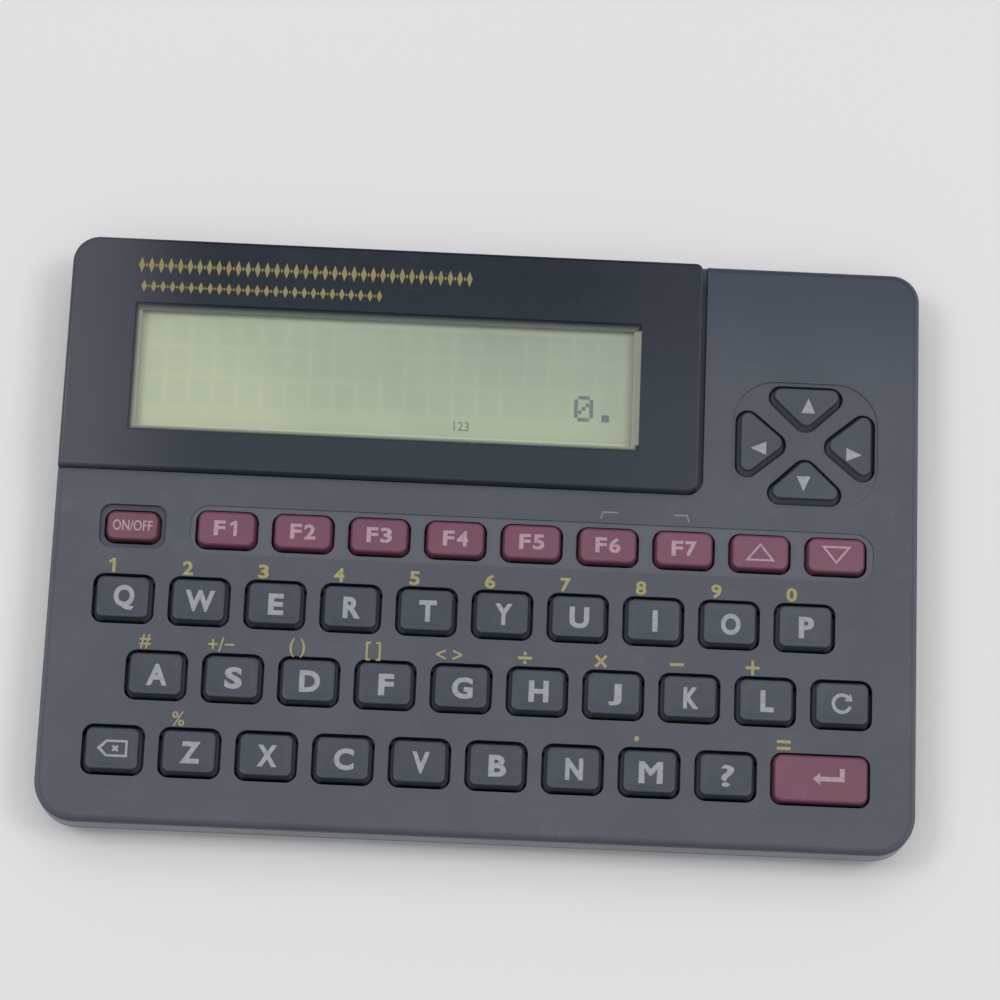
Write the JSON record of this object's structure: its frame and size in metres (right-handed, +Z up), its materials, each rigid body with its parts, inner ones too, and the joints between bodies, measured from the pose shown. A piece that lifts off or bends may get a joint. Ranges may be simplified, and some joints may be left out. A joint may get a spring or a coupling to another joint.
{
  "type": "electronic dictionary",
  "caption": "Flat pocket electronic dictionary with a raised display panel, four-way cursor pad, function row and full letter keypad.",
  "frame": {"origin": "centre of the footprint, at the soles of the feet", "axes": "+X to the right along the keypad, +Y from the keypad to the display's edge, +Z up, out of the keypad"},
  "size_m": [0.138, 0.096, 0.0136],
  "materials": {
    "case_plastic": "fine satin moulded texture, lightly worn",
    "panel_plastic": "smooth semi-gloss with dust and hairline scratches",
    "clear_window": "clear acrylic sheet",
    "lcd_glass": "reflective liquid crystal glass, grey green",
    "frame_plastic": "unpainted moulding",
    "silicone": "moulded silicone",
    "circuit_board": "solder mask over glass fibre board",
    "chip_resin": "moulded resin",
    "cell_steel": "plain cell can",
    "contact_metal": "nickel plated spring strip",
    "screw_steel": "zinc plated",
    "foot_rubber": "plain rubber",
    "key_grey": "satin keycap, slightly polished by use",
    "key_maroon": "satin keycap, slightly polished by use"
  },
  "bodies": {
    "case": {"top_case": "case_plastic", "bottom_case": "case_plastic", "display_bezel": "panel_plastic", "display_window": "clear_window", "lcd_panel": "lcd_glass", "lcd_frame": "frame_plastic", "lcd_connector": "silicone", "main_board": "circuit_board", "chips": "chip_resin", "key_mat": "silicone", "coin_cells": "cell_steel", "battery_contacts": "contact_metal", "screws": "screw_steel", "rubber_feet": "foot_rubber"},
    "battery_cover": {"battery_cover": "case_plastic"},
    "cursor_up_key": {"cursor_up_key": "key_grey"},
    "cursor_down_key": {"cursor_down_key": "key_grey"},
    "cursor_left_key": {"cursor_left_key": "key_grey"},
    "cursor_right_key": {"cursor_right_key": "key_grey"},
    "power_key": {"power_key": "key_maroon"},
    "function_key_1": {"function_key_1": "key_maroon"},
    "function_key_2": {"function_key_2": "key_maroon"},
    "function_key_3": {"function_key_3": "key_maroon"},
    "function_key_4": {"function_key_4": "key_maroon"},
    "function_key_5": {"function_key_5": "key_maroon"},
    "function_key_6": {"function_key_6": "key_maroon"},
    "function_key_7": {"function_key_7": "key_maroon"},
    "scroll_up_key": {"scroll_up_key": "key_maroon"},
    "scroll_down_key": {"scroll_down_key": "key_maroon"},
    "enter_key": {"enter_key": "key_maroon"},
    "clear_key": {"clear_key": "key_grey"},
    "recall_key": {"recall_key": "key_grey"},
    "query_key": {"query_key": "key_grey"},
    "letter_key_q": {"letter_key_q": "key_grey"},
    "letter_key_w": {"letter_key_w": "key_grey"},
    "letter_key_e": {"letter_key_e": "key_grey"},
    "letter_key_r": {"letter_key_r": "key_grey"},
    "letter_key_t": {"letter_key_t": "key_grey"},
    "letter_key_y": {"letter_key_y": "key_grey"},
    "letter_key_u": {"letter_key_u": "key_grey"},
    "letter_key_i": {"letter_key_i": "key_grey"},
    "letter_key_o": {"letter_key_o": "key_grey"},
    "letter_key_p": {"letter_key_p": "key_grey"},
    "letter_key_a": {"letter_key_a": "key_grey"},
    "letter_key_s": {"letter_key_s": "key_grey"},
    "letter_key_d": {"letter_key_d": "key_grey"},
    "letter_key_f": {"letter_key_f": "key_grey"},
    "letter_key_g": {"letter_key_g": "key_grey"},
    "letter_key_h": {"letter_key_h": "key_grey"},
    "letter_key_j": {"letter_key_j": "key_grey"},
    "letter_key_k": {"letter_key_k": "key_grey"},
    "letter_key_l": {"letter_key_l": "key_grey"},
    "letter_key_z": {"letter_key_z": "key_grey"},
    "letter_key_x": {"letter_key_x": "key_grey"},
    "letter_key_c": {"letter_key_c": "key_grey"},
    "letter_key_v": {"letter_key_v": "key_grey"},
    "letter_key_b": {"letter_key_b": "key_grey"},
    "letter_key_n": {"letter_key_n": "key_grey"},
    "letter_key_m": {"letter_key_m": "key_grey"}
  },
  "joints": [
    {"name": "battery_cover_slide", "type": "slide", "parent": "case", "child": "battery_cover", "axis": [0, 1, 0], "range_m": [0, 0.0265]},
    {"name": "cursor_up_key_press", "type": "slide", "parent": "case", "child": "cursor_up_key", "axis": [0, 0, -1], "range_m": [0, 0.0008], "stiffness_N_per_m": 600, "springref_m": -0.0006, "deforming": ["key_mat"]},
    {"name": "cursor_down_key_press", "type": "slide", "parent": "case", "child": "cursor_down_key", "axis": [0, 0, -1], "range_m": [0, 0.0008], "stiffness_N_per_m": 600, "springref_m": -0.0006, "deforming": ["key_mat"]},
    {"name": "cursor_left_key_press", "type": "slide", "parent": "case", "child": "cursor_left_key", "axis": [0, 0, -1], "range_m": [0, 0.0008], "stiffness_N_per_m": 600, "springref_m": -0.0006, "deforming": ["key_mat"]},
    {"name": "cursor_right_key_press", "type": "slide", "parent": "case", "child": "cursor_right_key", "axis": [0, 0, -1], "range_m": [0, 0.0008], "stiffness_N_per_m": 600, "springref_m": -0.0006, "deforming": ["key_mat"]},
    {"name": "power_key_press", "type": "slide", "parent": "case", "child": "power_key", "axis": [0, 0, -1], "range_m": [0, 0.0008], "stiffness_N_per_m": 600, "springref_m": -0.0006, "deforming": ["key_mat"]},
    {"name": "function_key_1_press", "type": "slide", "parent": "case", "child": "function_key_1", "axis": [0, 0, -1], "range_m": [0, 0.0008], "stiffness_N_per_m": 600, "springref_m": -0.0006, "deforming": ["key_mat"]},
    {"name": "function_key_2_press", "type": "slide", "parent": "case", "child": "function_key_2", "axis": [0, 0, -1], "range_m": [0, 0.0008], "stiffness_N_per_m": 600, "springref_m": -0.0006, "deforming": ["key_mat"]},
    {"name": "function_key_3_press", "type": "slide", "parent": "case", "child": "function_key_3", "axis": [0, 0, -1], "range_m": [0, 0.0008], "stiffness_N_per_m": 600, "springref_m": -0.0006, "deforming": ["key_mat"]},
    {"name": "function_key_4_press", "type": "slide", "parent": "case", "child": "function_key_4", "axis": [0, 0, -1], "range_m": [0, 0.0008], "stiffness_N_per_m": 600, "springref_m": -0.0006, "deforming": ["key_mat"]},
    {"name": "function_key_5_press", "type": "slide", "parent": "case", "child": "function_key_5", "axis": [0, 0, -1], "range_m": [0, 0.0008], "stiffness_N_per_m": 600, "springref_m": -0.0006, "deforming": ["key_mat"]},
    {"name": "function_key_6_press", "type": "slide", "parent": "case", "child": "function_key_6", "axis": [0, 0, -1], "range_m": [0, 0.0008], "stiffness_N_per_m": 600, "springref_m": -0.0006, "deforming": ["key_mat"]},
    {"name": "function_key_7_press", "type": "slide", "parent": "case", "child": "function_key_7", "axis": [0, 0, -1], "range_m": [0, 0.0008], "stiffness_N_per_m": 600, "springref_m": -0.0006, "deforming": ["key_mat"]},
    {"name": "scroll_up_key_press", "type": "slide", "parent": "case", "child": "scroll_up_key", "axis": [0, 0, -1], "range_m": [0, 0.0008], "stiffness_N_per_m": 600, "springref_m": -0.0006, "deforming": ["key_mat"]},
    {"name": "scroll_down_key_press", "type": "slide", "parent": "case", "child": "scroll_down_key", "axis": [0, 0, -1], "range_m": [0, 0.0008], "stiffness_N_per_m": 600, "springref_m": -0.0006, "deforming": ["key_mat"]},
    {"name": "enter_key_press", "type": "slide", "parent": "case", "child": "enter_key", "axis": [0, 0, -1], "range_m": [0, 0.0008], "stiffness_N_per_m": 600, "springref_m": -0.0006, "deforming": ["key_mat"]},
    {"name": "clear_key_press", "type": "slide", "parent": "case", "child": "clear_key", "axis": [0, 0, -1], "range_m": [0, 0.0008], "stiffness_N_per_m": 600, "springref_m": -0.0006, "deforming": ["key_mat"]},
    {"name": "recall_key_press", "type": "slide", "parent": "case", "child": "recall_key", "axis": [0, 0, -1], "range_m": [0, 0.0008], "stiffness_N_per_m": 600, "springref_m": -0.0006, "deforming": ["key_mat"]},
    {"name": "query_key_press", "type": "slide", "parent": "case", "child": "query_key", "axis": [0, 0, -1], "range_m": [0, 0.0008], "stiffness_N_per_m": 600, "springref_m": -0.0006, "deforming": ["key_mat"]},
    {"name": "letter_key_q_press", "type": "slide", "parent": "case", "child": "letter_key_q", "axis": [0, 0, -1], "range_m": [0, 0.0008], "stiffness_N_per_m": 600, "springref_m": -0.0006, "deforming": ["key_mat"]},
    {"name": "letter_key_w_press", "type": "slide", "parent": "case", "child": "letter_key_w", "axis": [0, 0, -1], "range_m": [0, 0.0008], "stiffness_N_per_m": 600, "springref_m": -0.0006, "deforming": ["key_mat"]},
    {"name": "letter_key_e_press", "type": "slide", "parent": "case", "child": "letter_key_e", "axis": [0, 0, -1], "range_m": [0, 0.0008], "stiffness_N_per_m": 600, "springref_m": -0.0006, "deforming": ["key_mat"]},
    {"name": "letter_key_r_press", "type": "slide", "parent": "case", "child": "letter_key_r", "axis": [0, 0, -1], "range_m": [0, 0.0008], "stiffness_N_per_m": 600, "springref_m": -0.0006, "deforming": ["key_mat"]},
    {"name": "letter_key_t_press", "type": "slide", "parent": "case", "child": "letter_key_t", "axis": [0, 0, -1], "range_m": [0, 0.0008], "stiffness_N_per_m": 600, "springref_m": -0.0006, "deforming": ["key_mat"]},
    {"name": "letter_key_y_press", "type": "slide", "parent": "case", "child": "letter_key_y", "axis": [0, 0, -1], "range_m": [0, 0.0008], "stiffness_N_per_m": 600, "springref_m": -0.0006, "deforming": ["key_mat"]},
    {"name": "letter_key_u_press", "type": "slide", "parent": "case", "child": "letter_key_u", "axis": [0, 0, -1], "range_m": [0, 0.0008], "stiffness_N_per_m": 600, "springref_m": -0.0006, "deforming": ["key_mat"]},
    {"name": "letter_key_i_press", "type": "slide", "parent": "case", "child": "letter_key_i", "axis": [0, 0, -1], "range_m": [0, 0.0008], "stiffness_N_per_m": 600, "springref_m": -0.0006, "deforming": ["key_mat"]},
    {"name": "letter_key_o_press", "type": "slide", "parent": "case", "child": "letter_key_o", "axis": [0, 0, -1], "range_m": [0, 0.0008], "stiffness_N_per_m": 600, "springref_m": -0.0006, "deforming": ["key_mat"]},
    {"name": "letter_key_p_press", "type": "slide", "parent": "case", "child": "letter_key_p", "axis": [0, 0, -1], "range_m": [0, 0.0008], "stiffness_N_per_m": 600, "springref_m": -0.0006, "deforming": ["key_mat"]},
    {"name": "letter_key_a_press", "type": "slide", "parent": "case", "child": "letter_key_a", "axis": [0, 0, -1], "range_m": [0, 0.0008], "stiffness_N_per_m": 600, "springref_m": -0.0006, "deforming": ["key_mat"]},
    {"name": "letter_key_s_press", "type": "slide", "parent": "case", "child": "letter_key_s", "axis": [0, 0, -1], "range_m": [0, 0.0008], "stiffness_N_per_m": 600, "springref_m": -0.0006, "deforming": ["key_mat"]},
    {"name": "letter_key_d_press", "type": "slide", "parent": "case", "child": "letter_key_d", "axis": [0, 0, -1], "range_m": [0, 0.0008], "stiffness_N_per_m": 600, "springref_m": -0.0006, "deforming": ["key_mat"]},
    {"name": "letter_key_f_press", "type": "slide", "parent": "case", "child": "letter_key_f", "axis": [0, 0, -1], "range_m": [0, 0.0008], "stiffness_N_per_m": 600, "springref_m": -0.0006, "deforming": ["key_mat"]},
    {"name": "letter_key_g_press", "type": "slide", "parent": "case", "child": "letter_key_g", "axis": [0, 0, -1], "range_m": [0, 0.0008], "stiffness_N_per_m": 600, "springref_m": -0.0006, "deforming": ["key_mat"]},
    {"name": "letter_key_h_press", "type": "slide", "parent": "case", "child": "letter_key_h", "axis": [0, 0, -1], "range_m": [0, 0.0008], "stiffness_N_per_m": 600, "springref_m": -0.0006, "deforming": ["key_mat"]},
    {"name": "letter_key_j_press", "type": "slide", "parent": "case", "child": "letter_key_j", "axis": [0, 0, -1], "range_m": [0, 0.0008], "stiffness_N_per_m": 600, "springref_m": -0.0006, "deforming": ["key_mat"]},
    {"name": "letter_key_k_press", "type": "slide", "parent": "case", "child": "letter_key_k", "axis": [0, 0, -1], "range_m": [0, 0.0008], "stiffness_N_per_m": 600, "springref_m": -0.0006, "deforming": ["key_mat"]},
    {"name": "letter_key_l_press", "type": "slide", "parent": "case", "child": "letter_key_l", "axis": [0, 0, -1], "range_m": [0, 0.0008], "stiffness_N_per_m": 600, "springref_m": -0.0006, "deforming": ["key_mat"]},
    {"name": "letter_key_z_press", "type": "slide", "parent": "case", "child": "letter_key_z", "axis": [0, 0, -1], "range_m": [0, 0.0008], "stiffness_N_per_m": 600, "springref_m": -0.0006, "deforming": ["key_mat"]},
    {"name": "letter_key_x_press", "type": "slide", "parent": "case", "child": "letter_key_x", "axis": [0, 0, -1], "range_m": [0, 0.0008], "stiffness_N_per_m": 600, "springref_m": -0.0006, "deforming": ["key_mat"]},
    {"name": "letter_key_c_press", "type": "slide", "parent": "case", "child": "letter_key_c", "axis": [0, 0, -1], "range_m": [0, 0.0008], "stiffness_N_per_m": 600, "springref_m": -0.0006, "deforming": ["key_mat"]},
    {"name": "letter_key_v_press", "type": "slide", "parent": "case", "child": "letter_key_v", "axis": [0, 0, -1], "range_m": [0, 0.0008], "stiffness_N_per_m": 600, "springref_m": -0.0006, "deforming": ["key_mat"]},
    {"name": "letter_key_b_press", "type": "slide", "parent": "case", "child": "letter_key_b", "axis": [0, 0, -1], "range_m": [0, 0.0008], "stiffness_N_per_m": 600, "springref_m": -0.0006, "deforming": ["key_mat"]},
    {"name": "letter_key_n_press", "type": "slide", "parent": "case", "child": "letter_key_n", "axis": [0, 0, -1], "range_m": [0, 0.0008], "stiffness_N_per_m": 600, "springref_m": -0.0006, "deforming": ["key_mat"]},
    {"name": "letter_key_m_press", "type": "slide", "parent": "case", "child": "letter_key_m", "axis": [0, 0, -1], "range_m": [0, 0.0008], "stiffness_N_per_m": 600, "springref_m": -0.0006, "deforming": ["key_mat"]}
  ]
}
